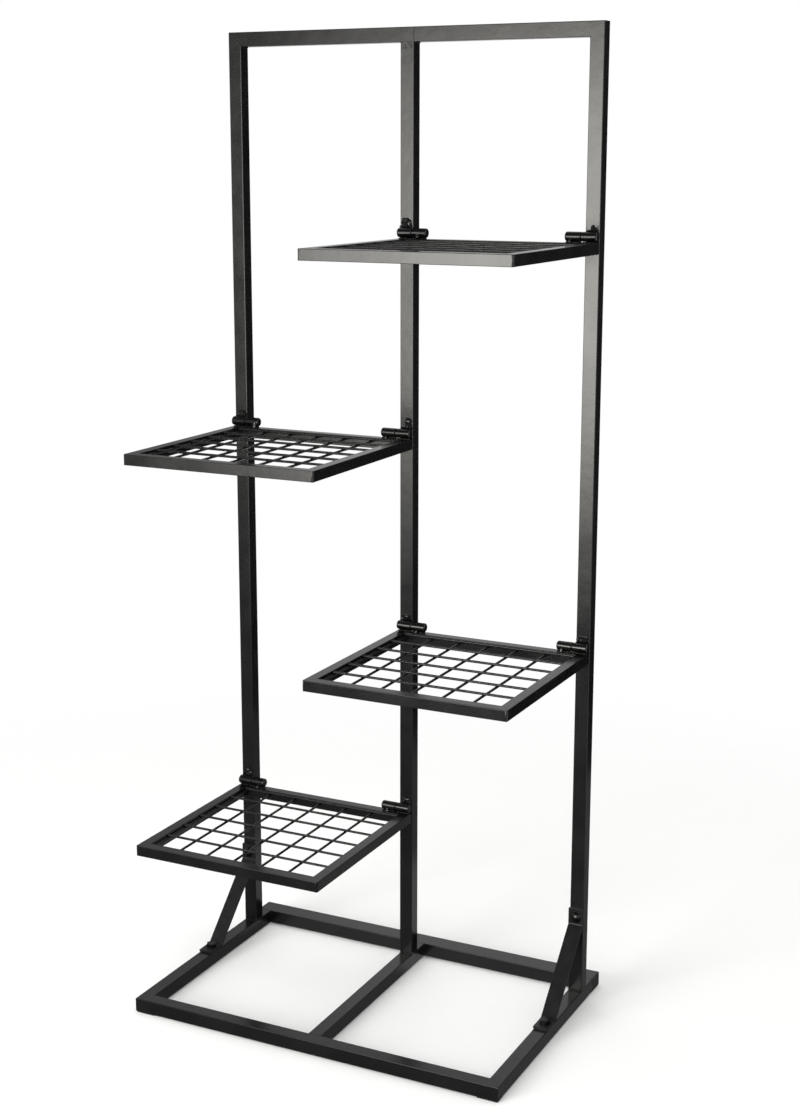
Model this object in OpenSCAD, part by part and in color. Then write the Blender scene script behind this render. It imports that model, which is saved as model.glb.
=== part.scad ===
// Tiered plant stand: a welded square tube frame with four staggered wire shelves
// that fold up on weld-on barrel hinges. Units are millimetres.
// X runs to the right, Y to the back and Z up, from the middle of the base on the ground.

/* [Overall] */
// Width over the two outer posts
stand_w = 565; // [480:1:700]
// Depth of the base, front edge to back edge
base_d = 377; // [350:1:450]
// Height of the frame above its foot pads
stand_h = 1370; // [1250:1:1500]
// Distance from the back edge of the base to the back faces of the posts
post_setback = 54; // [36:1:80]

/* [Frame tube] */
// Side of the square tube that the frame is made of
frame_tube = 20; // [18:0.5:25]
// Wall of the frame tube
frame_wall = 1.5; // [1:0.1:2]
// Outer edge radius of the frame tube
frame_edge_r = 1; // [0.5:0.1:3]
// Depth of the wider back rail of the base
back_rail_d = 30; // [24:1:34]
// Thickness of the flange of the back rail's end caps
cap_t = 2; // [1:0.5:4]
// Depth of the end caps' spigots inside the back rail
cap_spigot_l = 10; // [4:1:20]

/* [Foot pads] */
// Thickness of the pads under the corners of the base
pad_t = 1.5; // [1:0.1:3]
// Length of a pad along the front and back of the base
pad_l = 30; // [20:1:40]
// How far the pads lie inside the outline of the base
pad_inset = 1; // [0.5:0.5:3]

/* [Shelves] */
// Height of the lowest shelf's top above the foot pads
lowest_shelf_h = 248; // [210:1:290]
// Height from one shelf to the next
shelf_pitch = 280; // [250:1:300]
// Depth of a shelf, front to back
shelf_d = 290; // [230:1:296]
// Side of the square tube that the shelf frames are made of
shelf_tube = 15; // [14:0.5:20]
// Wall of the shelf tube
shelf_wall = 1.2; // [1:0.1:2]
// Outer edge radius of the shelf tube
shelf_edge_r = 0.8; // [0.5:0.1:2.5]
// Radius that the outer corners of a shelf frame are ground to
shelf_corner_r = 3; // [0.5:0.5:3]
// Diameter of the grid wires
wire_d = 3.5; // [2.5:0.1:4.5]
// Depth of the upper wires' crowns below the tops of the shelf tubes
wire_drop = 0.5; // [0.3:0.1:3]
// Number of grid cells from side to side
across_cell_count = 6; // [3:1:9]
// Number of grid cells from front to back
deep_cell_count = 6; // [3:1:9]

/* [Hinges] */
// Diameter of the hinge barrels
barrel_d = 13; // [11:0.5:16]
// Length of one knuckle
knuckle_l = 22; // [18:0.5:28]
// Gap between the two knuckles of a hinge
knuckle_gap = 1; // [0.5:0.1:2]
// Radius that rounds the outer ends of a hinge
barrel_round_r = 2.5; // [1:0.1:3]
// Chamfer where the two knuckles meet
barrel_chamfer = 0.6; // [0.2:0.1:1]
// Wall left at the closed end of a knuckle
barrel_end_t = 3; // [2:0.5:5]
// Diameter of the hinge pin
pin_d = 6; // [4:0.1:7]
// Height of the weld between a shelf tube and its hinge barrel
shelf_weld_t = 1.5; // [1:0.1:3]
// Width of the foot of the weld on the shelf tube
shelf_weld_w = 6; // [4:0.5:10]
// Width of the ear that is welded to the post
ear_w = 14; // [10:0.5:17]
// Height of the ear above the barrel
ear_h = 8; // [5:0.5:16]
// Thickness of the ear
ear_t = 2; // [1.5:0.1:4]

/* [Braces] */
// Height of a brace's upper bend above the base
brace_rise = 103; // [80:1:140]
// Distance that a brace reaches forward of the posts to its lower bend
brace_reach = 103; // [80:1:120]
// Width of the flat bar, a little over the tubes that it is bolted to
bar_w = 22; // [19:0.5:25]
// Thickness of the flat bar
bar_t = 3.5; // [2.5:0.1:4.5]
// Inside radius of the bends
bend_r = 3; // [2:0.1:6]
// Length of the tab above the upper bend
upper_tab_l = 25; // [24:1:40]
// Length of the tab in front of the lower bend
lower_tab_l = 30; // [28:1:50]
// Distance of the upper bolt above the upper bend
upper_bolt_up = 12; // [11:0.5:16]
// Distance of the lower bolt in front of the lower bend
lower_bolt_out = 13; // [12:0.5:20]

/* [Bolts] */
// Diameter of the bolts
bolt_d = 8; // [6:0.5:9]
// Diameter of the domed bolt heads
dome_d = 16; // [14:0.5:17]
// Height of the domed bolt heads
dome_h = 4.5; // [3:0.1:6]
// Distance across the flats of the hexagon heads and of the nuts
hex_af = 13; // [12:0.5:14]
// Height of the hexagon heads
hex_h = 4.5; // [3:0.1:6]
// Diameter of the washer face under a hexagon head
washer_d = 16; // [15:0.5:18]
// Thickness of that washer face
washer_t = 1.2; // [0.8:0.1:2]
// Height of the nuts inside the tubes
nut_h = 6; // [4:0.5:7]

/* [Clearances] */
// Gap between the back of a shelf and the posts that stop it
shelf_gap = 0.3; // [0.2:0.05:1]
// Gap between a hinge barrel and its post
barrel_gap = 0.3; // [0.2:0.05:1]
// Radial clearance of a hinge pin in its knuckles
pin_clear = 0.05; // [0.02:0.01:0.1]
// Clearance at each end of a hinge pin
pin_end_clear = 0.3; // [0.1:0.1:1]
// Radial clearance of a bolt in the bars and tubes
bolt_clear = 0.25; // [0.1:0.05:0.4]
// Radial clearance of a bolt in its nut
nut_clear = 0.05; // [0.02:0.01:0.1]
// Gap between wires that touch, and between an edge wire and its tube
wire_clear = 0.03; // [0.02:0.01:0.1]
// Clearance of an end cap's spigot in the back rail
cap_clear = 0.2; // [0.1:0.05:0.4]

/* [Hidden] */
$fn = 64;
overcut = 1;
bolt_tail = 2;
bend_steps = 8;
min_inner_r = 0.2;

paint = "#2b2b2b";
wire_paint = "#343434";
pin_steel = "#9a9a98";
bolt_black = "#1c1c1c";
cap_black = "#202020";

// Heights and depths of the frame
base_z = pad_t;
rail_top_z = base_z + frame_tube;
stand_top_z = pad_t + stand_h;
base_front_y = -base_d / 2;
base_back_y = base_d / 2;
back_rail_front_y = base_back_y - back_rail_d;
post_back_y = base_back_y - post_setback;
post_front_y = post_back_y - frame_tube;
right_x = stand_w / 2;
seam_x = frame_tube / 2;

// Each shelf spans one bay and laps over the middle post
shelf_count = 4;
shelf_w = (stand_w + frame_tube) / 2;
shelf_back_y = post_front_y - shelf_gap;
shelf_front_y = shelf_back_y - shelf_d;
grid_w = shelf_w - 2 * shelf_tube;
grid_d = shelf_d - 2 * shelf_tube;
grid_back_y = shelf_back_y - shelf_tube;
edge_wire_in = wire_d / 2 + wire_clear;

// The hinge line, measured from the shelf's top and the posts' front
barrel_r = barrel_d / 2;
hinge_y = post_front_y - barrel_gap - barrel_r;
hinge_up = shelf_weld_t + barrel_r;
hinge_l = 2 * knuckle_l + knuckle_gap;
pin_bore_r = pin_d / 2 + pin_clear;
bore_l = knuckle_l - barrel_end_t;

// The two bends of a brace and the straight strap between them
outer_bend_r = bend_r + bar_t;
strap_lean = atan(brace_reach / brace_rise);
upper_tangent = outer_bend_r * tan(strap_lean / 2);
lower_tangent = outer_bend_r * tan((90 - strap_lean) / 2);
upper_bolt_z = rail_top_z + brace_rise + upper_bolt_up;
lower_bolt_y = post_front_y - brace_reach - lower_bolt_out;
brace_x = right_x - frame_tube / 2;
bolt_hole_r = bolt_d / 2 + bolt_clear;
bolt_grip = bar_t + frame_wall;

function shelf_top_z(n) = pad_t + lowest_shelf_h + (shelf_count - n) * shelf_pitch;
function shelf_left_x(n) = n % 2 == 1 ? right_x - shelf_w : -right_x;
function shelf_mid_x(n) = shelf_left_x(n) + shelf_w / 2;
function bar_end(along, w, cut) = cut == 0 ? -overcut : cut * along / w;
function arc_points(centre, r, from, to) = [
    for (i = [0 : bend_steps])
        let (turn = from + (to - from) * i / bend_steps) centre + r * [cos(turn), sin(turn)]
];

// Rectangle with rounded corners, from the origin
module rounded_rect(w, h, r) {
    translate([r, 0]) square([w - 2 * r, h]);
    translate([0, r]) square([w, h - 2 * r]);
    for (x = [r, w - r], y = [r, h - r])
        translate([x, y]) circle(r);
}

// Section of a rectangular tube, from the origin
module tube_section(w, h, wall, r) {
    difference() {
        rounded_rect(w, h, r);
        translate([wall, wall])
            rounded_rect(w - 2 * wall, h - 2 * wall, max(r - wall, min_inner_r));
    }
}

// Tube along X. Its outer side is at y = 0, and each end is square, or mitred by the given cut
module bar(length, w, h, wall, r, cut_0 = 0, cut_1 = 0) {
    intersection() {
        rotate([90, 0, 90]) linear_extrude(length) tube_section(w, h, wall, r);
        translate([0, 0, -overcut]) linear_extrude(h + 2 * overcut) polygon([
            [bar_end(-overcut, w, cut_0), -overcut],
            [length - bar_end(-overcut, w, cut_1), -overcut],
            [length - bar_end(w + overcut, w, cut_1), w + overcut],
            [bar_end(w + overcut, w, cut_0), w + overcut]
        ]);
    }
}

module frame_bar(length, cut_0 = 0, cut_1 = 0) {
    bar(length, frame_tube, frame_tube, frame_wall, frame_edge_r, cut_0, cut_1);
}

// Tube of a shelf frame, mitred at both ends, with its outer corners rounded in plan
module shelf_bar(length) {
    intersection() {
        bar(length, shelf_tube, shelf_tube, shelf_wall, shelf_edge_r, shelf_tube, shelf_tube);
        translate([0, 0, -overcut]) linear_extrude(shelf_tube + 2 * overcut)
            rounded_rect(length, 2 * shelf_tube, shelf_corner_r);
    }
}

module both_sides() {
    children();
    mirror([1, 0, 0]) children();
}

// Posts and top rails

module left_post() {
    color(paint) difference() {
        translate([-right_x, post_front_y, rail_top_z]) rotate([0, -90, -90])
            frame_bar(stand_top_z - rail_top_z, 0, frame_tube);
        mirror([1, 0, 0]) upper_bolt_place() bolt_hole(bolt_grip + overcut);
    }
}

module right_post() {
    mirror([1, 0, 0]) left_post();
}

module middle_post() {
    color(paint) translate([-frame_tube / 2, post_front_y, rail_top_z]) rotate([0, -90, -90])
        frame_bar(stand_top_z - frame_tube - rail_top_z);
}

module top_rail_left() {
    color(paint) translate([-right_x, post_front_y, stand_top_z]) rotate([-90, 0, 0])
        frame_bar(right_x + seam_x, frame_tube, 0);
}

module top_rail_right() {
    color(paint) translate([seam_x, post_front_y, stand_top_z]) rotate([-90, 0, 0])
        frame_bar(right_x - seam_x, 0, frame_tube);
}

// Base

module base_front_rail() {
    color(paint) translate([-right_x, base_front_y, base_z])
        frame_bar(stand_w, frame_tube, frame_tube);
}

module base_back_rail() {
    color(paint) translate([cap_t - right_x, back_rail_front_y, base_z])
        bar(stand_w - 2 * cap_t, back_rail_d, frame_tube, frame_wall, frame_edge_r);
}

module base_right_rail() {
    color(paint) difference() {
        translate([right_x, base_front_y, base_z]) rotate([0, 0, 90])
            frame_bar(base_d - back_rail_d, frame_tube, 0);
        lower_bolt_place() bolt_hole(bolt_grip + overcut);
    }
}

module base_left_rail() {
    mirror([1, 0, 0]) base_right_rail();
}

module base_middle_rail() {
    color(paint) translate([frame_tube / 2, base_front_y + frame_tube, base_z]) rotate([0, 0, 90])
        frame_bar(back_rail_front_y - base_front_y - frame_tube);
}

module back_rail_caps() {
    spigot_in = frame_wall + cap_clear;
    spigot_r = max(frame_edge_r - spigot_in, min_inner_r);
    color(cap_black) both_sides() translate([right_x, back_rail_front_y, base_z]) {
        translate([-cap_t, 0, 0]) rotate([90, 0, 90]) linear_extrude(cap_t)
            rounded_rect(back_rail_d, frame_tube, frame_edge_r);
        translate([-cap_t - cap_spigot_l, spigot_in, spigot_in]) rotate([90, 0, 90])
            linear_extrude(cap_spigot_l)
                rounded_rect(back_rail_d - 2 * spigot_in, frame_tube - 2 * spigot_in, spigot_r);
    }
}

module foot_pads() {
    pad_w = frame_tube - 2 * pad_inset;
    color(cap_black) both_sides()
        for (y = [base_front_y + pad_inset, base_back_y - pad_inset - pad_w])
            translate([right_x - pad_inset - pad_l, y, 0]) linear_extrude(pad_t)
                rounded_rect(pad_l, pad_w, frame_edge_r);
}

// Braces and their bolts

// Side view of a brace: 2D x is the depth from the post's front, 2D y the height above the base
module brace_profile() {
    upper_centre = [-outer_bend_r, brace_rise + upper_tangent];
    lower_centre = [-brace_reach - lower_tangent, outer_bend_r];
    tab_top = brace_rise + upper_tab_l;
    tab_front = -brace_reach - lower_tab_l;
    polygon(concat(
        [[0, tab_top]],
        arc_points(upper_centre, outer_bend_r, 0, -strap_lean),
        arc_points(lower_centre, outer_bend_r, -strap_lean, -90),
        [[tab_front, 0], [tab_front, bar_t]],
        arc_points(lower_centre, bend_r, -90, -strap_lean),
        arc_points(upper_centre, bend_r, -strap_lean, 0),
        [[-bar_t, tab_top]]
    ));
}

module right_brace() {
    color(paint) difference() {
        translate([brace_x - bar_w / 2, post_front_y, rail_top_z]) rotate([90, 0, 90])
            linear_extrude(bar_w) brace_profile();
        upper_bolt_place() bolt_hole(bolt_grip + overcut);
        lower_bolt_place() bolt_hole(bolt_grip + overcut);
    }
}

module left_brace() {
    mirror([1, 0, 0]) right_brace();
}

// Each bolt runs along +Z here, from the outer face of the bar at z = 0, with its head below
module upper_bolt_place() {
    translate([brace_x, post_front_y - bar_t, upper_bolt_z]) rotate([-90, 0, 0]) children();
}

module lower_bolt_place() {
    translate([brace_x, lower_bolt_y, rail_top_z + bar_t]) rotate([180, 0, 0]) children();
}

module bolt_hole(depth) {
    translate([0, 0, -overcut]) cylinder(r = bolt_hole_r, h = depth + overcut);
}

module bolt_shank() {
    cylinder(d = bolt_d, h = bolt_grip + nut_h + bolt_tail);
}

module brace_upper_bolts() {
    // The dome is the cap of a sphere that is as wide as the head at its foot
    dome_r = (dome_d * dome_d / 4 + dome_h * dome_h) / (2 * dome_h);
    color(bolt_black) both_sides() upper_bolt_place() {
        bolt_shank();
        intersection() {
            translate([0, 0, dome_r - dome_h]) sphere(dome_r);
            translate([0, 0, -dome_h]) cylinder(r = dome_r, h = dome_h);
        }
    }
}

module brace_lower_bolts() {
    color(bolt_black) both_sides() lower_bolt_place() {
        bolt_shank();
        translate([0, 0, -washer_t]) cylinder(d = washer_d, h = washer_t);
        translate([0, 0, -washer_t - hex_h]) cylinder(d = hex_af / cos(30), h = hex_h, $fn = 6);
    }
}

// Nut inside the tube, with two of its flats towards the tube's side walls
module nut() {
    translate([0, 0, bolt_grip]) rotate(30) difference() {
        cylinder(d = hex_af / cos(30), h = nut_h, $fn = 6);
        translate([0, 0, -overcut]) cylinder(r = bolt_d / 2 + nut_clear, h = nut_h + 2 * overcut);
    }
}

module brace_nuts() {
    color(pin_steel) both_sides() {
        upper_bolt_place() nut();
        lower_bolt_place() nut();
    }
}

// Shelf frames and grids

module shelf_front_tube(n) {
    color(paint) translate([shelf_left_x(n), shelf_front_y, shelf_top_z(n) - shelf_tube])
        shelf_bar(shelf_w);
}

module shelf_back_tube(n) {
    color(paint)
        translate([shelf_left_x(n) + shelf_w, shelf_back_y, shelf_top_z(n) - shelf_tube])
            rotate([0, 0, 180]) shelf_bar(shelf_w);
}

module shelf_left_tube(n) {
    color(paint) translate([shelf_left_x(n), shelf_back_y, shelf_top_z(n) - shelf_tube])
        rotate([0, 0, 270]) shelf_bar(shelf_d);
}

module shelf_right_tube(n) {
    color(paint)
        translate([shelf_left_x(n) + shelf_w, shelf_front_y, shelf_top_z(n) - shelf_tube])
            rotate([0, 0, 90]) shelf_bar(shelf_d);
}

// Distances of the wires from one side of the grid: one along each side, the rest between cells
function wire_places(span, cell_count) = [
    for (i = [0 : cell_count])
        i == 0 ? edge_wire_in
        : i == cell_count ? span - edge_wire_in : span * i / cell_count
];

module shelf_long_wires(n) {
    wire_z = shelf_top_z(n) - wire_drop - wire_d / 2;
    color(wire_paint) for (along = wire_places(grid_d, deep_cell_count))
        translate([shelf_left_x(n) + shelf_tube, grid_back_y - along, wire_z])
            rotate([0, 90, 0]) cylinder(d = wire_d, h = grid_w);
}

module shelf_cross_wires(n) {
    wire_z = shelf_top_z(n) - wire_drop - wire_d * 3 / 2 - wire_clear;
    color(wire_paint) for (along = wire_places(grid_w, across_cell_count))
        translate([shelf_left_x(n) + shelf_tube + along, grid_back_y, wire_z])
            rotate([90, 0, 0]) cylinder(d = wire_d, h = grid_d);
}

// Hinges

// The left hinge of shelf n with its line along X, from the shelf's left edge, and its mirror
module hinge_pair(n) {
    for (side = [0, 1])
        translate([shelf_mid_x(n), hinge_y, shelf_top_z(n) + hinge_up])
            mirror([side, 0, 0]) translate([-shelf_w / 2, 0, 0]) children();
}

// Solid knuckle along X, with its rounded outer end at x = 0
module knuckle() {
    rotate([0, 90, 0]) rotate_extrude() difference() {
        union() {
            translate([0, barrel_round_r]) square([barrel_r, knuckle_l - barrel_round_r]);
            square([barrel_r - barrel_round_r, knuckle_l]);
            translate([barrel_r - barrel_round_r, barrel_round_r]) circle(barrel_round_r);
        }
        translate([-barrel_d, 0]) square([barrel_d, knuckle_l]);
        translate([barrel_r - barrel_chamfer, knuckle_l]) rotate(-45) square(barrel_chamfer * 2);
    }
}

module knuckle_bore() {
    translate([barrel_end_t, 0, 0]) rotate([0, 90, 0]) cylinder(r = pin_bore_r, h = bore_l + overcut);
}

module shelf_post_knuckles(n) {
    to_post = barrel_r + barrel_gap;
    ear_in = (frame_tube - ear_w) / 2;
    color(paint) hinge_pair(n) difference() {
        union() {
            knuckle();
            translate([ear_in, 0, 0]) rotate([90, 0, 90]) linear_extrude(ear_w) polygon([
                [0, 0], [to_post, 0], [to_post, barrel_r + ear_h], [to_post - ear_t, barrel_r + ear_h],
                [to_post - ear_t, barrel_r + ear_t], [0, barrel_r]
            ]);
        }
        knuckle_bore();
    }
}

module shelf_shelf_knuckles(n) {
    weld_in = barrel_round_r;
    weld_l = knuckle_l - barrel_round_r - barrel_chamfer;
    color(paint) hinge_pair(n) translate([hinge_l, 0, 0]) mirror([1, 0, 0]) difference() {
        union() {
            knuckle();
            translate([weld_in, 0, 0]) rotate([90, 0, 90]) linear_extrude(weld_l) polygon([
                [-shelf_weld_w / 2, -hinge_up], [shelf_weld_w / 2, -hinge_up],
                [shelf_weld_w / 3, -pin_bore_r], [-shelf_weld_w / 3, -pin_bore_r]
            ]);
        }
        knuckle_bore();
    }
}

module shelf_hinge_pins(n) {
    color(pin_steel) hinge_pair(n) translate([barrel_end_t + pin_end_clear, 0, 0])
        rotate([0, 90, 0]) cylinder(d = pin_d, h = hinge_l - 2 * (barrel_end_t + pin_end_clear));
}

left_post();
middle_post();
right_post();
top_rail_left();
top_rail_right();
base_front_rail();
base_back_rail();
base_left_rail();
base_middle_rail();
base_right_rail();
back_rail_caps();
foot_pads();
left_brace();
right_brace();
brace_upper_bolts();
brace_lower_bolts();
brace_nuts();
shelf_front_tube(1);  // shelf_1_front_tube
shelf_back_tube(1);  // shelf_1_back_tube
shelf_left_tube(1);  // shelf_1_left_tube
shelf_right_tube(1);  // shelf_1_right_tube
shelf_long_wires(1);  // shelf_1_long_wires
shelf_cross_wires(1);  // shelf_1_cross_wires
shelf_shelf_knuckles(1);  // shelf_1_shelf_knuckles
shelf_post_knuckles(1);  // shelf_1_post_knuckles
shelf_hinge_pins(1);  // shelf_1_hinge_pins
shelf_front_tube(2);  // shelf_2_front_tube
shelf_back_tube(2);  // shelf_2_back_tube
shelf_left_tube(2);  // shelf_2_left_tube
shelf_right_tube(2);  // shelf_2_right_tube
shelf_long_wires(2);  // shelf_2_long_wires
shelf_cross_wires(2);  // shelf_2_cross_wires
shelf_shelf_knuckles(2);  // shelf_2_shelf_knuckles
shelf_post_knuckles(2);  // shelf_2_post_knuckles
shelf_hinge_pins(2);  // shelf_2_hinge_pins
shelf_front_tube(3);  // shelf_3_front_tube
shelf_back_tube(3);  // shelf_3_back_tube
shelf_left_tube(3);  // shelf_3_left_tube
shelf_right_tube(3);  // shelf_3_right_tube
shelf_long_wires(3);  // shelf_3_long_wires
shelf_cross_wires(3);  // shelf_3_cross_wires
shelf_shelf_knuckles(3);  // shelf_3_shelf_knuckles
shelf_post_knuckles(3);  // shelf_3_post_knuckles
shelf_hinge_pins(3);  // shelf_3_hinge_pins
shelf_front_tube(4);  // shelf_4_front_tube
shelf_back_tube(4);  // shelf_4_back_tube
shelf_left_tube(4);  // shelf_4_left_tube
shelf_right_tube(4);  // shelf_4_right_tube
shelf_long_wires(4);  // shelf_4_long_wires
shelf_cross_wires(4);  // shelf_4_cross_wires
shelf_shelf_knuckles(4);  // shelf_4_shelf_knuckles
shelf_post_knuckles(4);  // shelf_4_post_knuckles
shelf_hinge_pins(4);  // shelf_4_hinge_pins
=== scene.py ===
import math
import random

import bmesh
import bpy
from mathutils import Matrix, Vector


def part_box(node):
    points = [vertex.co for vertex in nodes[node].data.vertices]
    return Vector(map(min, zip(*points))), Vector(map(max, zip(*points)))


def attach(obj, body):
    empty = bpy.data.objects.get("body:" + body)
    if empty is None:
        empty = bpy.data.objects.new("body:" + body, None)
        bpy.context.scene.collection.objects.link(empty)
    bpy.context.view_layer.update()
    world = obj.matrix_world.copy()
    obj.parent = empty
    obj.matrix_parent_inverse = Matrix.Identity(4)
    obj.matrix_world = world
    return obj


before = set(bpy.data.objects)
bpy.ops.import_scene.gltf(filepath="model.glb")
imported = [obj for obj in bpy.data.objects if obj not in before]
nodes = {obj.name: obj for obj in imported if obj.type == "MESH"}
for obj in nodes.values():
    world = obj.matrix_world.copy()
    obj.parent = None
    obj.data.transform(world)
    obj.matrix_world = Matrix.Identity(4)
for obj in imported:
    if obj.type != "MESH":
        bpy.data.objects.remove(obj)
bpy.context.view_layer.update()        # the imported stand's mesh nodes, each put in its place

scene = bpy.context.scene
mm = 0.001
shelves = (1, 2, 3, 4)   # from the top down
print("stand loaded,", len(nodes), "nodes")


# Camera, at the place the photograph was taken from

photo = {
    "width": 800, "height": 1120,          # pixels
    "focal": 1789.85,                      # pixels
    "axisX": 394.2, "axisY": 545.7,        # where the lens axis meets the picture, from the top left
    "azimuth": 26.55, "elevation": 12.52,  # degrees
    "place": (1.1064, -2.1386, 1.2112),    # metres
    "sensor": 36.0,                        # mm along the picture's long side
    "reach": 50,                           # metres that the camera sees
}


def addCamera(view):
    lens = bpy.data.cameras.new("photoCamera")
    lens.sensor_width = view["sensor"]
    lens.lens = view["focal"] / view["height"] * view["sensor"]
    lens.shift_x = (view["width"] / 2 - view["axisX"]) / view["height"]
    lens.shift_y = (view["axisY"] - view["height"] / 2) / view["height"]
    lens.clip_end = view["reach"]
    camera = bpy.data.objects.new("photoCamera", lens)
    camera.location = view["place"]
    camera.rotation_euler = (math.radians(90 - view["elevation"]), 0, math.radians(view["azimuth"]))
    scene.collection.objects.link(camera)
    scene.camera = camera


addCamera(photo)
scene.view_settings.view_transform = "Standard"
print("camera set")


# Helpers for materials

# An sRGB hex code as linear colour, by the sRGB standard's own formula
def srgb(code):
    channels = [int(code[i:i + 2], 16) / 255 for i in (1, 3, 5)]
    return [c / 12.92 if c <= 0.04045 else ((c + 0.055) / 1.055) ** 2.4 for c in channels] + [1.0]


# Adds one node; settings are its properties, values its sockets, links the outputs that feed sockets
def addNode(tree, kind, settings=None, values=None, links=None):
    node = tree.nodes.new(kind)
    for name, value in (settings or {}).items():
        setattr(node, name, value)
    for socket, value in (values or {}).items():
        node.inputs[socket].default_value = value
    for socket, source in (links or {}).items():
        tree.links.new(source, node.inputs[socket])
    return node


def newMaterial(name):
    material = bpy.data.materials.new(name)
    material.use_nodes = True
    material.node_tree.nodes.clear()
    return material, material.node_tree


mixSocket = {"factor": 0, "low": 6, "high": 7, "result": 2}     # of a Mix node that mixes colours
noiseSpan = {"From Min": 0.3, "From Max": 0.7}                  # where most of a noise's values lie


# Materials, with sizes in mm: the width of one patch of a pattern, or the depth of a bump

# Satin black polyester powder coat, sprayed and baked: an even, slightly waxy black whose faint orange
# peel breaks up reflections, over tube walls that wave a little. The real peel is under 1 mm; it is drawn
# at 2.4 mm so that it shows.
powderCoat = {
    "dark": "#0b0b0c", "light": "#111112", "patch": 55, "patchDetail": 3.0,
    "speck": "#242424", "speckFrom": 0.66, "speckTo": 0.74, "speckShare": 0.35,
    "grain": 1.6, "grainDetail": 1.0,
    "peel": 2.4, "peelDetail": 2.0, "peelCoarse": 0.6, "peelStrength": 0.2, "peelDepth": 0.2,
    "wave": 16, "waveDetail": 1.0, "waveStrength": 1.0, "waveDepth": 0.12,
    "smooth": 0.17, "rough": 0.24, "ior": 1.5,
}

# The same coat on the flat braces, baked a little duller than on the tubes
braceCoat = dict(powderCoat, dark="#0f0f10", light="#161617", patch=14, smooth=0.32, rough=0.42, ior=1.36)

# The same coat on thin drawn wire, in smaller patches and with fewer specks and hardly any peel
wireCoat = dict(powderCoat, dark="#0b0b0c", light="#101011", patch=30, peel=2.0, peelStrength=0.02,
                speckShare=0.1, smooth=0.24, rough=0.32)

# Gloss black enamel on the turned hinge barrels: near black with crisp narrow highlights
hingeEnamel = dict(powderCoat, dark="#080808", light="#0d0d0d", patch=12, peel=1.6, peelStrength=0.06,
                   speckShare=0.1, smooth=0.13, rough=0.19, ior=1.52)

# Powder coat over rough weld metal: black with pits, so it gives back only small glints
weldCoat = dict(powderCoat, dark="#070707", light="#101010", patch=4, peel=1.6, peelStrength=0.6,
                peelDepth=0.5, smooth=0.16, rough=0.32, ior=1.26)

# Low-density polyethylene, injection moulded: soft dull black with a fine moulded grain
padPlastic = dict(powderCoat, dark="#161616", light="#1d1d1d", patch=20, peel=0.8, peelStrength=0.3,
                  smooth=0.5, rough=0.6, speckShare=0.0)


# Every black finish on the stand: two tones and a gloss that change in patches, paler specks, and a
# fine peel over slow waves
def blackFinish(name, coat):
    material, tree = newMaterial(name)
    place = addNode(tree, "ShaderNodeTexCoord").outputs["Object"]
    noises = {}
    for pattern in ("patch", "grain", "peel", "wave"):
        size = {"Scale": 1 / (coat[pattern] * mm), "Detail": coat[pattern + "Detail"]}
        noises[pattern] = addNode(tree, "ShaderNodeTexNoise", None, size, {"Vector": place})
    noises["peel"].inputs["Roughness"].default_value = coat["peelCoarse"]
    patches, grain, peel, wave = [noise.outputs["Fac"] for noise in noises.values()]
    blend = addNode(tree, "ShaderNodeMapRange", {"clamp": True}, noiseSpan, {"Value": patches})
    tone = addNode(tree, "ShaderNodeMix", {"data_type": "RGBA"},
                   {mixSocket["low"]: srgb(coat["dark"]), mixSocket["high"]: srgb(coat["light"])},
                   {mixSocket["factor"]: blend.outputs[0]})
    speckSpan = {"From Min": coat["speckFrom"], "From Max": coat["speckTo"], "To Max": coat["speckShare"]}
    specks = addNode(tree, "ShaderNodeMapRange", {"clamp": True}, speckSpan, {"Value": grain})
    colour = addNode(tree, "ShaderNodeMix", {"data_type": "RGBA"}, {mixSocket["high"]: srgb(coat["speck"])},
                     {mixSocket["factor"]: specks.outputs[0],
                      mixSocket["low"]: tone.outputs[mixSocket["result"]]})
    gloss = addNode(tree, "ShaderNodeMapRange", {"clamp": True},
                    {**noiseSpan, "To Min": coat["smooth"], "To Max": coat["rough"]}, {"Value": patches})
    waves = addNode(tree, "ShaderNodeBump", None,
                    {"Strength": coat["waveStrength"], "Distance": coat["waveDepth"] * mm}, {"Height": wave})
    bump = addNode(tree, "ShaderNodeBump", None,
                   {"Strength": coat["peelStrength"], "Distance": coat["peelDepth"] * mm},
                   {"Height": peel, "Normal": waves.outputs[0]})
    shader = addNode(tree, "ShaderNodeBsdfPrincipled", None, {"IOR": coat["ior"]},
                     {"Base Color": colour.outputs[mixSocket["result"]], "Roughness": gloss.outputs[0],
                      "Normal": bump.outputs[0]})
    addNode(tree, "ShaderNodeOutputMaterial", links={"Surface": shader.outputs[0]})
    return material


# Drawn bright steel pin: fine lines along its length, a grey that takes the room's light
pinSteel = {
    "dark": "#8d8b87", "light": "#b3b1ac", "stain": 8, "stainDetail": 3.0,
    "line": 0.5, "lineDetail": 2.0, "stretch": (0.05, 1, 1), "lineStrength": 0.2, "lineDepth": 0.02,
    "smooth": 0.22, "rough": 0.4,
}

# Black zinc plated steel bolt, cold headed: a dark metal with a bright tight highlight on the dome
blackZinc = dict(pinSteel, dark="#262625", light="#3a3a39", stain=5, line=0.7, stretch=(1, 1, 1),
                 smooth=0.2, rough=0.32)

# Bright zinc plated steel nut: pale blue-grey, slightly cloudy
brightZinc = dict(pinSteel, dark="#a2a6a8", light="#c3c6c8", stain=4, line=0.8, stretch=(1, 1, 1),
                  smooth=0.25, rough=0.4)


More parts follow.
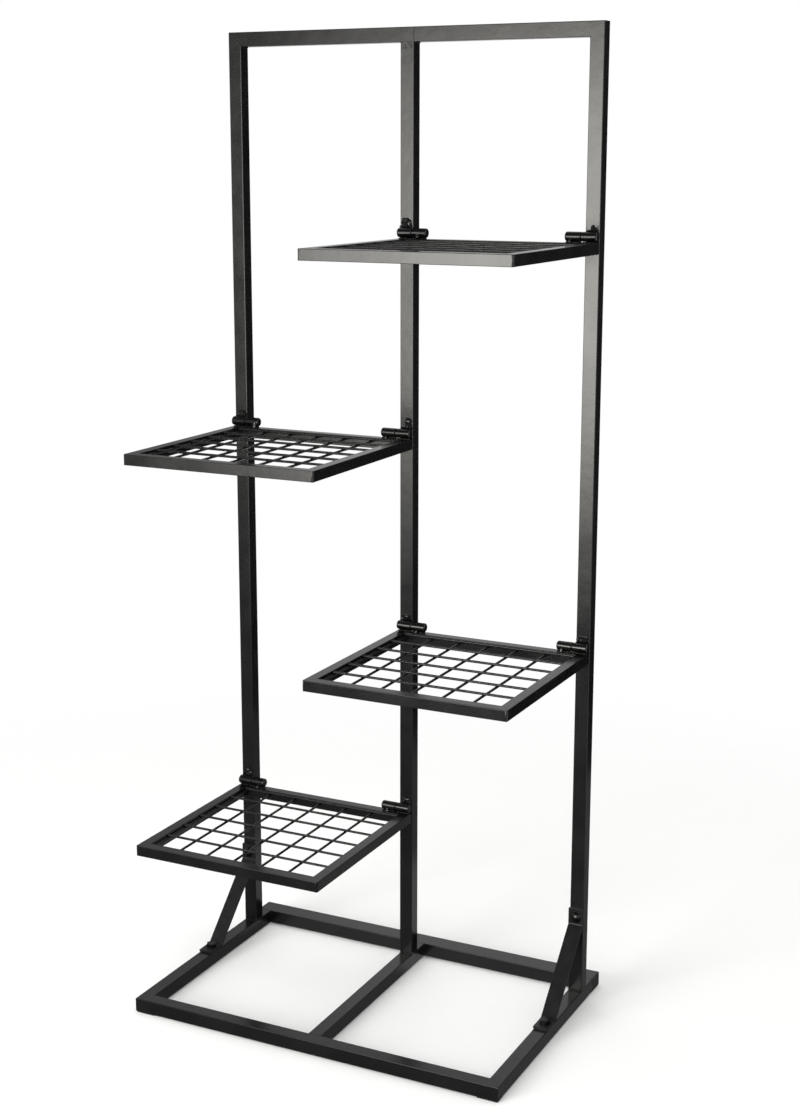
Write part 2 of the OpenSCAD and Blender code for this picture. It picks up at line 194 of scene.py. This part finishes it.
# The bare metals: a cloudy stain in the colour and fine lines in the gloss
def metalFinish(name, metal):
    material, tree = newMaterial(name)
    place = addNode(tree, "ShaderNodeTexCoord").outputs["Object"]
    stretch = addNode(tree, "ShaderNodeMapping", None, {"Scale": metal["stretch"]}, {"Vector": place})
    lines = addNode(tree, "ShaderNodeTexNoise", None,
                    {"Scale": 1 / (metal["line"] * mm), "Detail": metal["lineDetail"]},
                    {"Vector": stretch.outputs[0]}).outputs["Fac"]
    stain = addNode(tree, "ShaderNodeTexNoise", None,
                    {"Scale": 1 / (metal["stain"] * mm), "Detail": metal["stainDetail"]}, {"Vector": place})
    blend = addNode(tree, "ShaderNodeMapRange", {"clamp": True}, noiseSpan, {"Value": stain.outputs["Fac"]})
    colour = addNode(tree, "ShaderNodeMix", {"data_type": "RGBA"},
                     {mixSocket["low"]: srgb(metal["dark"]), mixSocket["high"]: srgb(metal["light"])},
                     {mixSocket["factor"]: blend.outputs[0]})
    gloss = addNode(tree, "ShaderNodeMapRange", {"clamp": True},
                    {**noiseSpan, "To Min": metal["smooth"], "To Max": metal["rough"]}, {"Value": lines})
    bump = addNode(tree, "ShaderNodeBump", None,
                   {"Strength": metal["lineStrength"], "Distance": metal["lineDepth"] * mm},
                   {"Height": lines})
    shader = addNode(tree, "ShaderNodeBsdfPrincipled", None, {"Metallic": 1.0},
                     {"Base Color": colour.outputs[mixSocket["result"]], "Roughness": gloss.outputs[0],
                      "Normal": bump.outputs[0]})
    addNode(tree, "ShaderNodeOutputMaterial", links={"Surface": shader.outputs[0]})
    return material


tubeFinish = blackFinish("satinBlackPowderCoat", powderCoat)
braceFinish = blackFinish("dullPowderCoatOnBrace", braceCoat)
wireFinish = blackFinish("satinPowderCoatOnWire", wireCoat)
hingeFinish = blackFinish("glossBlackEnamel", hingeEnamel)
weldFinish = blackFinish("powderCoatedWeld", weldCoat)
plasticFinish = blackFinish("mouldedPolyethylene", padPlastic)
pinFinish = metalFinish("drawnBrightSteel", pinSteel)
boltFinish = metalFinish("blackZincPlatedSteel", blackZinc)
nutFinish = metalFinish("brightZincPlatedSteel", brightZinc)

# A part's finish goes by the first of these words in its name; one with none of them is a tube
finishes = {
    "wires": wireFinish, "knuckles": hingeFinish, "pins": pinFinish, "bolts": boltFinish, "nuts": nutFinish,
    "caps": plasticFinish, "pads": plasticFinish, "brace": braceFinish,
}


# The stand's own parts: their finish, and smooth round edges beside crisp flat faces

partEdges = {
    "join": 0.002,             # mm, corners of the loose triangles that lie this near are one
    "sheared": 0.7,            # mm, how far the shear rounded the edges of the flat bar
    "shearedSegments": 3,
    "shearedAngle": 40,        # degrees, the sharper edges are rounded
    "crispAngle": 32,          # degrees, the sharper edges stay crisp
    "flatWeight": 100,         # the most there is, so that the wide faces set the shading
}


def dressPart(name, node, edges):
    named = [finish for word, finish in finishes.items() if word in name]
    finish = named[0] if named else tubeFinish
    node.data.materials.clear()
    node.data.materials.append(finish)
    node.data.polygons.foreach_set("use_smooth", [True] * len(node.data.polygons))
    join = node.modifiers.new("join", "WELD")
    join.merge_threshold = edges["join"] * mm
    if finish == braceFinish:
        sheared = node.modifiers.new("sheared", "BEVEL")
        sheared.width = edges["sheared"] * mm
        sheared.segments = edges["shearedSegments"]
        sheared.limit_method = "ANGLE"
        sheared.angle_limit = math.radians(edges["shearedAngle"])
    crisp = node.modifiers.new("crisp", "EDGE_SPLIT")
    crisp.split_angle = math.radians(edges["crispAngle"])
    flat = node.modifiers.new("flat", "WEIGHTED_NORMAL")
    flat.mode = "FACE_AREA"
    flat.weight = edges["flatWeight"]


for name, node in nodes.items():
    dressPart(name, node, partEdges)
print("finishes set on the stand's parts")


# Welds

# Turns a bmesh into a finished piece that rides a body
def addPiece(name, shape, body, finish):
    bmesh.ops.recalc_face_normals(shape, faces=shape.faces)
    for face in shape.faces:
        face.smooth = True
    mesh = bpy.data.meshes.new(name)
    shape.to_mesh(mesh)
    shape.free()
    mesh.materials.append(finish)
    piece = bpy.data.objects.new(name, mesh)
    scene.collection.objects.link(piece)
    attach(piece, body)
    return piece


weldBead = {
    "sides": 8,
    "pitch": 0.5,              # length of a ripple as a share of the bead's radius
    "fewest": 4,               # ripples in the shortest bead
    "start": 0.5,              # radius of the first ripple as a share of the bead's
    "startTaper": 0.6,         # radius of its outer end as a share of that
    "ends": 0.6,               # share of the full width that the bead has at its ends
    "endRipples": 2,           # ripples that it takes to reach the full width
    "dip": 0.84,               # width between ripples as a share of the width on them
    "spread": (0.93, 1.07),    # shares between which the width varies
    "wander": 0.12,            # how far it strays from its line, as a share of its radius
    "endInset": 1.2,           # mm that it stops short of the corners
}


# A rippled ridge along a line, part of it sunk in the steel; radius in mm
def addBead(shape, start, end, radius, chance, bead=weldBead):
    start, end, radius = Vector(start), Vector(end), radius * mm
    along = (end - start).normalized()
    inset = along * bead["endInset"] * mm
    start, end = start + inset, end - inset
    steps = max(bead["fewest"], round((end - start).length / (radius * bead["pitch"])))
    stride = (end - start) / steps
    turn = along.to_track_quat("Z", "X").to_matrix().to_4x4()
    size = radius * bead["start"]
    made = bmesh.ops.create_cone(shape, cap_ends=True, segments=bead["sides"], depth=stride.length,
                                 radius1=size * bead["startTaper"], radius2=size,
                                 matrix=Matrix.Translation(start) @ turn)
    caps = {face for vert in made["verts"] for face in vert.link_faces if len(face.verts) == bead["sides"]}
    tip = max(caps, key=lambda face: face.calc_center_median().dot(along))
    for step in range(1, steps + 1):
        tip = bmesh.ops.extrude_discrete_faces(shape, faces=[tip])["faces"][0]
        nearEnd = min(step, steps - step) / bead["endRipples"]
        full = min(1.0, bead["ends"] + (1 - bead["ends"]) * nearEnd)
        wanted = radius * full * (1.0 if step % 2 else bead["dip"]) * chance.uniform(*bead["spread"])
        drift = Vector([chance.uniform(-1, 1) * bead["wander"] * radius for axis in range(3)])
        middle = tip.calc_center_median()
        target = start + stride * (step + 0.5) + drift       # the first ripple lies half before the start
        bmesh.ops.translate(shape, verts=tip.verts, vec=target - middle)
        grow = wanted / size
        bmesh.ops.scale(shape, verts=tip.verts, vec=(grow, grow, grow), space=Matrix.Translation(-target))
        size = wanted


# A rounded drop; radii in mm, and fine is the number of subdivisions that Blender is given
def addDrop(shape, place, radii, fine=2):
    stretch = Matrix.Diagonal((radii[0] * mm, radii[1] * mm, radii[2] * mm, 1))
    matrix = Matrix.Translation(place) @ stretch
    bmesh.ops.create_icosphere(shape, subdivisions=fine, radius=1, matrix=matrix)


# Lines along Z, X and Y, each as a start and an end

def upright(x, y, low, high):
    return (x, y, low), (x, y, high)


def acrossX(low, high, y, z):
    return (low, y, z), (high, y, z)


def acrossY(x, low, high, z):
    return (x, low, z), (x, high, z)


frameWelds = {                   # sizes in mm
    "seed": 3,
    "fillet": 1.7,               # radius of the beads in inner corners
    "seam": 1.5,                 # radius of the beads ground back over flush joints
    "seamProud": 0.15,           # how far a ground bead still stands out
    "butt": 0.7,                 # radius of the thin dark bead where the two top rails meet
    "buttProud": 0.25,           # how far that bead stands out
    "spots": 9,                  # drops ground flat on the middle post, under the top rail
    "spotInset": 3.0,            # from the post's sides
    "spotPlace": (1.5, 9.0),     # down from the post's top
    "spotSunk": 0.6,             # from the post's front to a spot's middle
    "spotWide": (1.4, 3.0), "spotDeep": 1.0, "spotTall": (1.0, 1.9),     # half sizes
}


# The lines that the frame's beads follow: inner corners, ground seams and the butt of the top rails
def frameWeldLines(sizes):
    leftLow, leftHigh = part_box("left_post")
    rightLow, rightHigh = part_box("right_post")
    middleLow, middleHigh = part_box("middle_post")
    railTop = leftLow.z
    under = middleHigh.z
    roof = leftHigh.z
    front, rear = leftLow.y, leftHigh.y
    sink = (sizes["seam"] - sizes["seamProud"]) * mm
    fillets = [acrossY(x, front, rear, under) for x in (leftHigh.x, middleLow.x, middleHigh.x, rightLow.x)]
    fillets += [acrossY(x, front, rear, railTop) for x in (leftHigh.x, rightLow.x)]
    for low, high in ((leftLow, leftHigh), (middleLow, middleHigh), (rightLow, rightHigh)):
        fillets += [acrossX(low.x, high.x, y, railTop) for y in (front, rear)]
    frontRail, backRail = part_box("base_front_rail"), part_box("base_back_rail")
    for x in (leftHigh.x, middleLow.x, middleHigh.x, rightLow.x):
        fillets += [upright(x, y, frontRail[0].z, railTop) for y in (frontRail[1].y, backRail[0].y)]
    seams = [acrossX(middleLow.x, middleHigh.x, y, under) for y in (front + sink, rear - sink)]
    for y in (front + sink, rear - sink):
        for x, turn in ((leftLow.x, 1), (rightHigh.x, -1)):
            outer = Vector((x, y, roof))
            seams.append((outer, outer + Vector((turn, 0, -1)) * (roof - under)))
    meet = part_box("top_rail_left")[1].x
    inset = (sizes["butt"] - sizes["buttProud"]) * mm
    butts = [upright(meet, y, under, roof) for y in (front + inset, rear - inset)]
    butts.append(acrossY(meet, front, rear, roof - inset))
    return fillets, seams, butts


def addFrameWelds(sizes):
    chance = random.Random(sizes["seed"])
    fillets, seams, butts = frameWeldLines(sizes)
    beads, ground = bmesh.new(), bmesh.new()
    for start, end in fillets:
        addBead(beads, start, end, sizes["fillet"], chance)
    for start, end in butts:
        addBead(beads, start, end, sizes["butt"], chance)
    for start, end in seams:
        addBead(ground, start, end, sizes["seam"], chance)
    low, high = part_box("middle_post")
    inset = sizes["spotInset"] * mm
    for spot in range(sizes["spots"]):
        x = chance.uniform(low.x + inset, high.x - inset)
        z = high.z - chance.uniform(*sizes["spotPlace"]) * mm
        radii = (chance.uniform(*sizes["spotWide"]), sizes["spotDeep"], chance.uniform(*sizes["spotTall"]))
        addDrop(ground, (x, low.y + sizes["spotSunk"] * mm, z), radii)
    addPiece("frame_weld_beads", beads, "frame", weldFinish)
    addPiece("frame_ground_seams", ground, "frame", tubeFinish)


shelfWelds = {
    "seed": 20,
    "wires": 7,                     # each way, with those along the frame's sides
    "fillet": 1.7,                  # mm, beads inside the corners of a shelf frame
    "crossing": (1.5, 1.5, 2.2),    # mm, where two wires are spot welded
    "wireEnd": (1.9, 1.9, 1.95),    # mm, where a wire meets its tube
    "fine": 1,                      # there are hundreds of these, so each has few faces
}


# Wires lie at even steps between the two that run along the sides
def wireLines(low, high, count, wire):
    side = wire / 2
    step = (high - low) / (count - 1)
    return [low + side] + [low + step * i for i in range(1, count - 1)] + [high - side]


def addShelfWelds(n, sizes):
    chance = random.Random(sizes["seed"] + n)
    body = "shelf_%d" % n
    longLow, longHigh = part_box(body + "_long_wires")
    crossLow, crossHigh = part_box(body + "_cross_wires")
    front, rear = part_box(body + "_front_tube"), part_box(body + "_back_tube")
    left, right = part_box(body + "_left_tube"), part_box(body + "_right_tube")
    shape = bmesh.new()
    for x in (left[1].x, right[0].x):
        for y in (front[1].y, rear[0].y):
            addBead(shape, *upright(x, y, front[0].z, front[1].z), sizes["fillet"], chance)
    wire = longHigh.z - longLow.z
    rows = wireLines(crossLow.y, crossHigh.y, sizes["wires"], wire)
    columns = wireLines(longLow.x, longHigh.x, sizes["wires"], wire)
    for y in rows:
        for x in columns:
            addDrop(shape, (x, y, longLow.z), sizes["crossing"], sizes["fine"])
        for x in (longLow.x, longHigh.x):
            addDrop(shape, (x, y, longLow.z + wire / 2), sizes["wireEnd"], sizes["fine"])
    for x in columns:
        for y in (crossLow.y, crossHigh.y):
            addDrop(shape, (x, y, crossLow.z + wire / 2), sizes["wireEnd"], sizes["fine"])
    addPiece(body + "_weld_beads", shape, body, weldFinish)


# Each hinge was welded by hand, so each weld differs. Sizes in mm. shift is the weld's place along the
# post's face from its middle, low and high its ends above the barrel's top. tack is the place of the drops
# on the shelf's knuckle from the knuckle's end nearer the shelf's middle, tackLow and tackHigh their ends
# above the shelf's top. shine is for smooth spots on the post's weld: shift, height over the barrel's top,
# half width and half height.
hingeWelds = {
    (1, "left"): {"shift": -0.3, "width": 17.0, "low": -2.0, "high": 13.0, "tack": 13.7, "tackSize": 2.4,
                  "tackLow": 3.0, "tackHigh": 8.0, "shine": [(-6.7, 1.6, 2.2, 2.0)]},
    (1, "right"): {"shift": 2.2, "width": 12.5, "low": -2.0, "high": 8.2, "tack": 9, "tackSize": 2.2,
                   "tackLow": 1.5, "tackHigh": 6.0, "shine": []},
    (2, "left"): {"shift": 2.0, "width": 15.5, "low": -2.5, "high": 9.3, "tack": 6.6, "tackSize": 3.2,
                  "tackLow": 1.5, "tackHigh": 8.5, "shine": []},
    (2, "right"): {"shift": 3.1, "width": 11.0, "low": -2.0, "high": 15.0, "tack": 10.3, "tackSize": 2.2,
                   "tackLow": 0.5, "tackHigh": 5.0, "shine": [(3.1, 10.5, 5.0, 3.0)]},
    (3, "left"): {"shift": 0.4, "width": 16.0, "low": -3.0, "high": 7.0, "tack": 13.7, "tackSize": 2.3,
                  "tackLow": 1.0, "tackHigh": 5.0, "shine": [(2.6, 5.6, 3.0, 3.0), (-4.6, 2.6, 3.0, 2.6)]},
    (3, "right"): {"shift": -1.8, "width": 17.5, "low": -4.5, "high": 6.0, "tack": 8.9, "tackSize": 2.7,
                   "tackLow": 0.5, "tackHigh": 6.0, "shine": [(-6.5, 4.8, 2.4, 2.4)]},
    (4, "left"): {"shift": 4.6, "width": 11.7, "low": -2.0, "high": 11.8, "tack": 11.6, "tackSize": 2.4,
                  "tackLow": 0.5, "tackHigh": 4.0, "shine": [(2.3, 8.4, 2.8, 3.2), (7.0, 5.0, 3.0, 2.8)]},
    (4, "right"): {"shift": 1.4, "width": 16.5, "low": -3.5, "high": 9.4, "tack": 11.1, "tackSize": 2.2,
                   "tackLow": 0.5, "tackHigh": 5.5, "shine": [(2.2, 6.3, 6.0, 2.2)]},
}

postWeld = {                     # sizes in mm
    "seed": 11,
    "rowPitch": 2.6, "columnPitch": 3.0, "fewest": 3,    # spacing of its drops, and the fewest each way
    "narrower": 0.4,             # share by which the top row is narrower than the lowest
    "inset": 2.0,                # from the weld's sides to the outer drops
    "lowInset": 1.0, "highInset": 2.0,     # the same at its low and high ends
    "strayX": 0.9, "strayZ": 0.8,
    "drop": (1.5, 2.6),          # half width and half height of a drop
    "deep": 4.4, "strayDeep": 0.9,         # half depth of the drops in the lowest row
    "flatter": 1.5,              # how much less deep the top row is
    "proud": 0.3,                # from the post's front out to the drops' middles
    "skin": 0.45,                # fineness of the skin over the drops
    "shineProud": 4.8, "shineDeep": 1.8, "shineFine": 3,     # the same for the smooth spots
}


# A hand laid weld between a post and the barrel under it: rows of overlapping drops over the hinge's ear
def addPostWeld(shape, middle, front, barrelTop, own, weld, chance):
    rows = max(weld["fewest"], round((own["high"] - own["low"]) / weld["rowPitch"]))
    columns = max(weld["fewest"], round(own["width"] / weld["columnPitch"]))
    wide = own["width"] - 2 * weld["inset"]
    tall = own["high"] - own["low"] - (weld["lowInset"] + weld["highInset"])
    for row in range(rows):
        share = row / (rows - 1)
        reach = 1 - weld["narrower"] * share ** 2
        for column in range(columns):
            across = (column / (columns - 1) - 0.5) * reach
            strayX = chance.uniform(-weld["strayX"], weld["strayX"])
            strayZ = chance.uniform(-weld["strayZ"], weld["strayZ"])
            x = middle + (across * wide + strayX) * mm
            z = barrelTop + (own["low"] + weld["lowInset"] + share * tall + strayZ) * mm
            size = chance.uniform(*weld["drop"])
            deep = weld["deep"] - weld["flatter"] * share
            deep += chance.uniform(-weld["strayDeep"], weld["strayDeep"])
            addDrop(shape, (x, front - weld["proud"] * mm, z), (size, deep, size))


# Smooth spots of paint that shine on that weld
def addShine(shape, middle, front, barrelTop, own, weld):
    for shift, high, wide, tall in own["shine"]:
        proud = weld["shineProud"] - weld["flatter"] * min(1, high / own["high"])
        spot = (middle + shift * mm, front - proud * mm, barrelTop + high * mm)
        addDrop(shape, spot, (wide, weld["shineDeep"], tall), weld["shineFine"])


tackWeld = {                     # sizes in mm
    "drops": 5, "stray": 0.4,
    "back": 0.1,                 # from the barrel's front to the drops' middles, as a share of its radius
    "thinner": 0.3,              # share by which the top drop is thinner
    "spread": (0.85, 1.1),       # shares between which the drops' sizes vary
    "lean": -0.3, "leanMore": 1.6,         # how far back the lowest drop lies, and how much more the top one
    "deep": 0.75, "tall": 1.2,   # half sizes as shares of the half width
    "skin": 0.35,                # fineness of the skin over the drops
}


# A run of drops up the front of the shelf's knuckle
def addTack(shape, x, y, shelfTop, own, tack, chance):
    for drop in range(tack["drops"]):
        share = drop / (tack["drops"] - 1)
        strayX, strayY = [chance.uniform(-tack["stray"], tack["stray"]) * mm for axis in range(2)]
        z = shelfTop + (own["tackLow"] + share * (own["tackHigh"] - own["tackLow"])) * mm
        size = own["tackSize"] * (1 - tack["thinner"] * share) * chance.uniform(*tack["spread"])
        lean = (tack["leanMore"] * share + tack["lean"]) * mm
        radii = (size, size * tack["deep"], size * tack["tall"])
        addDrop(shape, (x + strayX, y + strayY + lean, z), radii)


underWeld = {                    # beads under the barrels, sizes in mm
    "seat": 1.6,                 # radius of the one that holds the shelf's knuckle
    "seatLift": 0.45,            # share of it that its middle is above the shelf
    "seatShort": 1.0,            # how far it stops short of the knuckle's inner end
    "seatForward": 3.4,          # from the barrel's axis
    "closing": 0.2,              # how much thinner the one that closes the post's knuckle is
    "closingOver": 0.2,          # how far that one reaches past its knuckle
    "closingForward": 0.8,       # from the barrel's axis
    "closingLift": 0.2,          # above the knuckles' underside
}


# All the welds of the hinges; turn is the way from a hinge's outer end to the shelf's middle
def addHingeWelds(hinges, weld, tack, beads):
    chance = random.Random(weld["seed"])
    posts, shine = bmesh.new(), bmesh.new()
    tubeLow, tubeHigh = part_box("left_post")
    half = (tubeHigh.x - tubeLow.x) / 2
    for n in shelves:
        body = "shelf_%d" % n
        postLow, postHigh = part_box(body + "_post_knuckles")
        shelfLow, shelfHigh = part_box(body + "_shelf_knuckles")
        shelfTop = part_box(body + "_back_tube")[1].z
        front = postHigh.y
        barrel = (shelfHigh.y - shelfLow.y) / 2
        knuckle = shelfLow.x - postLow.x
        axis = (shelfLow.y + shelfHigh.y) / 2
        tacks, seats = bmesh.new(), bmesh.new()
        for side, outer, turn in (("left", postLow.x, 1), ("right", postHigh.x, -1)):
            own = hinges[(n, side)]
            middle = outer + turn * half
            addPostWeld(posts, middle + own["shift"] * mm, front, shelfHigh.z, own, weld, chance)
            addShine(shine, middle, front, shelfHigh.z, own, weld)
            x = outer + turn * (2 * knuckle - own["tack"] * mm)
            addTack(tacks, x, shelfLow.y + barrel * tack["back"], shelfTop, own, tack, chance)
            inner, end = outer + turn * knuckle, outer + turn * (2 * knuckle - beads["seatShort"] * mm)
            seat = acrossX(*sorted((inner, end)), axis - beads["seatForward"] * mm,
                           shelfTop + beads["seat"] * beads["seatLift"] * mm)
            addBead(seats, *seat, beads["seat"], chance)
            inner = outer + turn * (knuckle + beads["closingOver"] * mm)
            closing = acrossX(*sorted((outer, inner)), axis - beads["closingForward"] * mm,
                              shelfLow.z + beads["closingLift"] * mm)
            addBead(posts, *closing, beads["seat"] - beads["closing"], chance)
        addPiece(body + "_hinge_seats", seats, body, weldFinish)
        piece = addPiece(body + "_hinge_tacks", tacks, body, hingeFinish)
        meltTogether(piece, tack["skin"])
    piece = addPiece("post_hinge_welds", posts, "frame", weldFinish)
    meltTogether(piece, weld["skin"])
    addPiece("post_weld_drops", shine, "frame", hingeFinish)


melting = {"soften": 0.5, "rounds": 2}     # how much, and how often, the skin is smoothed


# Makes one skin of overlapping drops; size in mm
def meltTogether(piece, size):
    skin = piece.modifiers.new("melt", "REMESH")
    skin.mode = "VOXEL"
    skin.voxel_size = size * mm
    skin.use_smooth_shade = True
    soft = piece.modifiers.new("soften", "SMOOTH")
    soft.factor = melting["soften"]
    soft.iterations = melting["rounds"]


addFrameWelds(frameWelds)
for n in shelves:
    addShelfWelds(n, shelfWelds)
addHingeWelds(hingeWelds, postWeld, tackWeld, underWeld)
print("welds added")


# Light, floor and background

studio = {
    "sky": "#ffffff", "white": 1.0,        # what the camera and the gloss see all round
    "fill": 0.55,                          # the soft light that it gives
    "floor": "#f4f4f2", "floorSides": 64,
    "floorLift": 0.08,                     # white that only the camera sees on the floor
    "floorRadius": 4.0, "fadeStart": 0.45, "fadeEnd": 1.7,     # metres
}

softboxes = {
    "keySoftbox": {"place": (-0.8, -2.3, 0.9), "aim": (0.0, 0.1, 0.7), "size": (1.3, 1.25), "power": 58},
    "topSoftbox": {"place": (0.0, 0.2, 3.2), "aim": (0.0, 0.0, 0.0), "size": (2.6, 2.6), "power": 45},
}

# What the gloss of the paint mirrors. A card is a flat sheet of light that nothing else sees. One that
# fades has bright at its middle and dim at its rim; fade gives for an axis the middle, and the metres from
# there between which the light falls off.
plainCard = {"colour": "#ffffff", "fade": {}}
cards = {
    "keyCard": dict(plainCard, place=(-0.3, -2.3, 1.1), aim=(-0.3, 0.0, 1.1), size=(4.2, 2.2),
                    colour="#fffdf6", dim=0.25, bright=10.4,
                    fade={"X": (-0.2, 0.45, 1.6), "Z": (0.9, 0.2, 0.95)}),
    "backLowCard": dict(plainCard, place=(-1.3, 3.0, 0.875), aim=(-1.3, 0.0, 0.875), size=(3.6, 1.75),
                        dim=0.12, bright=0.72, fade={"X": (-0.9, 0.5, 1.75)}),
    "backHighCard": dict(plainCard, place=(-1.3, 3.0, 2.175), aim=(-1.3, 0.0, 2.175), size=(3.6, 0.85),
                         bright=0.52),
    "sideCard": dict(plainCard, place=(1.15, 2.2, 1.4), aim=(0.6, 0.0, 1.4), size=(1.5, 2.8), bright=0.03),
    "ceilingCard": dict(plainCard, place=(0.0, 0.0, 2.6), aim=(0.0, 0.0, 0.0), size=(4.4, 4.4),
                        dim=0.07, bright=0.9, fade={"X": (0.0, 0.9, 1.4), "Y": (0.9, 0.5, 0.75)}),
    "floorCard": dict(plainCard, place=(-0.5, -0.64, 0.0003), aim=(-0.5, -0.64, 1.0), size=(3.0, 3.4),
                      dim=0.17, bright=0.42, fade={"X": (0.0, 0.235, 0.25), "Y": (0.3, 0.17, 0.22)}),
    "farFloorCard": dict(plainCard, place=(1.0, 2.06, 0.0003), aim=(1.0, 2.06, 1.0), size=(1.8, 2.0),
                         bright=0.014),
}


# The turn that points a lamp or a card at its aim
def aimed(plan):
    return (Vector(plan["aim"]) - Vector(plan["place"])).to_track_quat("-Z", "Y")


def addSoftbox(name, plan):
    lamp = bpy.data.lights.new(name, "AREA")
    lamp.shape = "RECTANGLE"
    lamp.size, lamp.size_y = plan["size"]
    lamp.energy = plan["power"]
    box = bpy.data.objects.new(name, lamp)
    box.location = plan["place"]
    box.rotation_euler = aimed(plan).to_euler()
    box.visible_camera = False
    box.visible_glossy = False
    scene.collection.objects.link(box)


# Makes a card's glow fall off along the axes that its fade names
def fadeGlow(tree, glow, plan):
    place = addNode(tree, "ShaderNodeTexCoord").outputs["Object"]
    axes = addNode(tree, "ShaderNodeSeparateXYZ", links={0: place})
    falls = []
    for axis, (middle, inner, outer) in plan["fade"].items():
        offset = addNode(tree, "ShaderNodeMath", {"operation": "SUBTRACT"}, {1: middle},
                         {0: axes.outputs[axis]})
        far = addNode(tree, "ShaderNodeMath", {"operation": "ABSOLUTE"}, links={0: offset.outputs[0]})
        fall = addNode(tree, "ShaderNodeMapRange", {"clamp": True, "interpolation_type": "SMOOTHSTEP"},
                       {"From Min": inner, "From Max": outer, "To Min": 1.0, "To Max": 0.0},
                       {"Value": far.outputs[0]})
        falls.append(fall.outputs[0])
    level = falls[0]
    for fall in falls[1:]:
        both = addNode(tree, "ShaderNodeMath", {"operation": "MULTIPLY"}, links={0: level, 1: fall})
        level = both.outputs[0]
    strength = addNode(tree, "ShaderNodeMapRange", None, {"To Min": plan["dim"], "To Max": plan["bright"]},
                       {"Value": level})
    tree.links.new(strength.outputs[0], glow.inputs["Strength"])


def cardLight(name, plan):
    material, tree = newMaterial(name)
    glow = addNode(tree, "ShaderNodeEmission", None,
                   {"Color": srgb(plan["colour"]), "Strength": plan["bright"]})
    if plan["fade"]:
        fadeGlow(tree, glow, plan)
    addNode(tree, "ShaderNodeOutputMaterial", links={"Surface": glow.outputs[0]})
    return material


def addCard(name, plan):
    shape = bmesh.new()
    place = Matrix.Translation(plan["place"]) @ aimed(plan).to_matrix().to_4x4()
    flat = Matrix.Diagonal((plan["size"][0] / 2, plan["size"][1] / 2, 1, 1))
    bmesh.ops.create_grid(shape, x_segments=1, y_segments=1, size=1, matrix=place @ flat)
    mesh = bpy.data.meshes.new(name)
    shape.to_mesh(mesh)
    shape.free()
    mesh.materials.append(cardLight(name + "Light", plan))
    card = bpy.data.objects.new(name, mesh)
    for ray in ("camera", "diffuse", "transmission", "volume_scatter", "shadow"):
        setattr(card, "visible_" + ray, False)
    scene.collection.objects.link(card)


# A pale room: white to the camera and the gloss, and a weaker light on the stand
def addWorld(room):
    world = bpy.data.worlds.new("paleStudio")
    scene.world = world
    world.use_nodes = True
    tree = world.node_tree
    tree.nodes.clear()
    rays = addNode(tree, "ShaderNodeLightPath")
    mirror = addNode(tree, "ShaderNodeMath", {"operation": "MAXIMUM"},
                     links={0: rays.outputs["Is Camera Ray"], 1: rays.outputs["Is Glossy Ray"]})
    seen = addNode(tree, "ShaderNodeMath", {"operation": "MAXIMUM"},
                   links={0: mirror.outputs[0], 1: rays.outputs["Is Transmission Ray"]})
    strength = addNode(tree, "ShaderNodeMapRange", {"clamp": True},
                       {"To Min": room["fill"], "To Max": room["white"]}, {"Value": seen.outputs[0]})
    sky = addNode(tree, "ShaderNodeBackground", None, {"Color": srgb(room["sky"])},
                  {"Strength": strength.outputs[0]})
    addNode(tree, "ShaderNodeOutputWorld", links={"Surface": sky.outputs[0]})


# Matt white paper that keeps the shadow near the stand and fades into the background further out
def paperSweep(room):
    material, tree = newMaterial("mattWhitePaperSweep")
    place = addNode(tree, "ShaderNodeTexCoord").outputs["Object"]
    distance = addNode(tree, "ShaderNodeVectorMath", {"operation": "LENGTH"}, links={0: place})
    fade = addNode(tree, "ShaderNodeMapRange", {"clamp": True, "interpolation_type": "SMOOTHSTEP"},
                   {"From Min": room["fadeStart"], "From Max": room["fadeEnd"]},
                   {"Value": distance.outputs["Value"]})
    paper = addNode(tree, "ShaderNodeBsdfDiffuse", None, {"Color": srgb(room["floor"])})
    rays = addNode(tree, "ShaderNodeLightPath")
    seen = addNode(tree, "ShaderNodeMath", {"operation": "MULTIPLY"}, {1: room["floorLift"]},
                   {0: rays.outputs["Is Camera Ray"]})
    lift = addNode(tree, "ShaderNodeEmission", links={"Strength": seen.outputs[0]})
    sheet = addNode(tree, "ShaderNodeAddShader", links={0: paper.outputs[0], 1: lift.outputs[0]})
    clear = addNode(tree, "ShaderNodeBsdfTransparent")
    blend = addNode(tree, "ShaderNodeMixShader",
                    links={0: fade.outputs[0], 1: sheet.outputs[0], 2: clear.outputs[0]})
    addNode(tree, "ShaderNodeOutputMaterial", links={"Surface": blend.outputs[0]})
    return material


def addFloor(room):
    shape = bmesh.new()
    bmesh.ops.create_circle(shape, cap_ends=True, segments=room["floorSides"], radius=room["floorRadius"])
    mesh = bpy.data.meshes.new("floor")
    shape.to_mesh(mesh)
    shape.free()
    mesh.materials.append(paperSweep(room))
    floor = bpy.data.objects.new("floor", mesh)
    scene.collection.objects.link(floor)


addWorld(studio)
addFloor(studio)
for name, plan in softboxes.items():
    addSoftbox(name, plan)
for name, plan in cards.items():
    addCard(name, plan)
print("studio set")
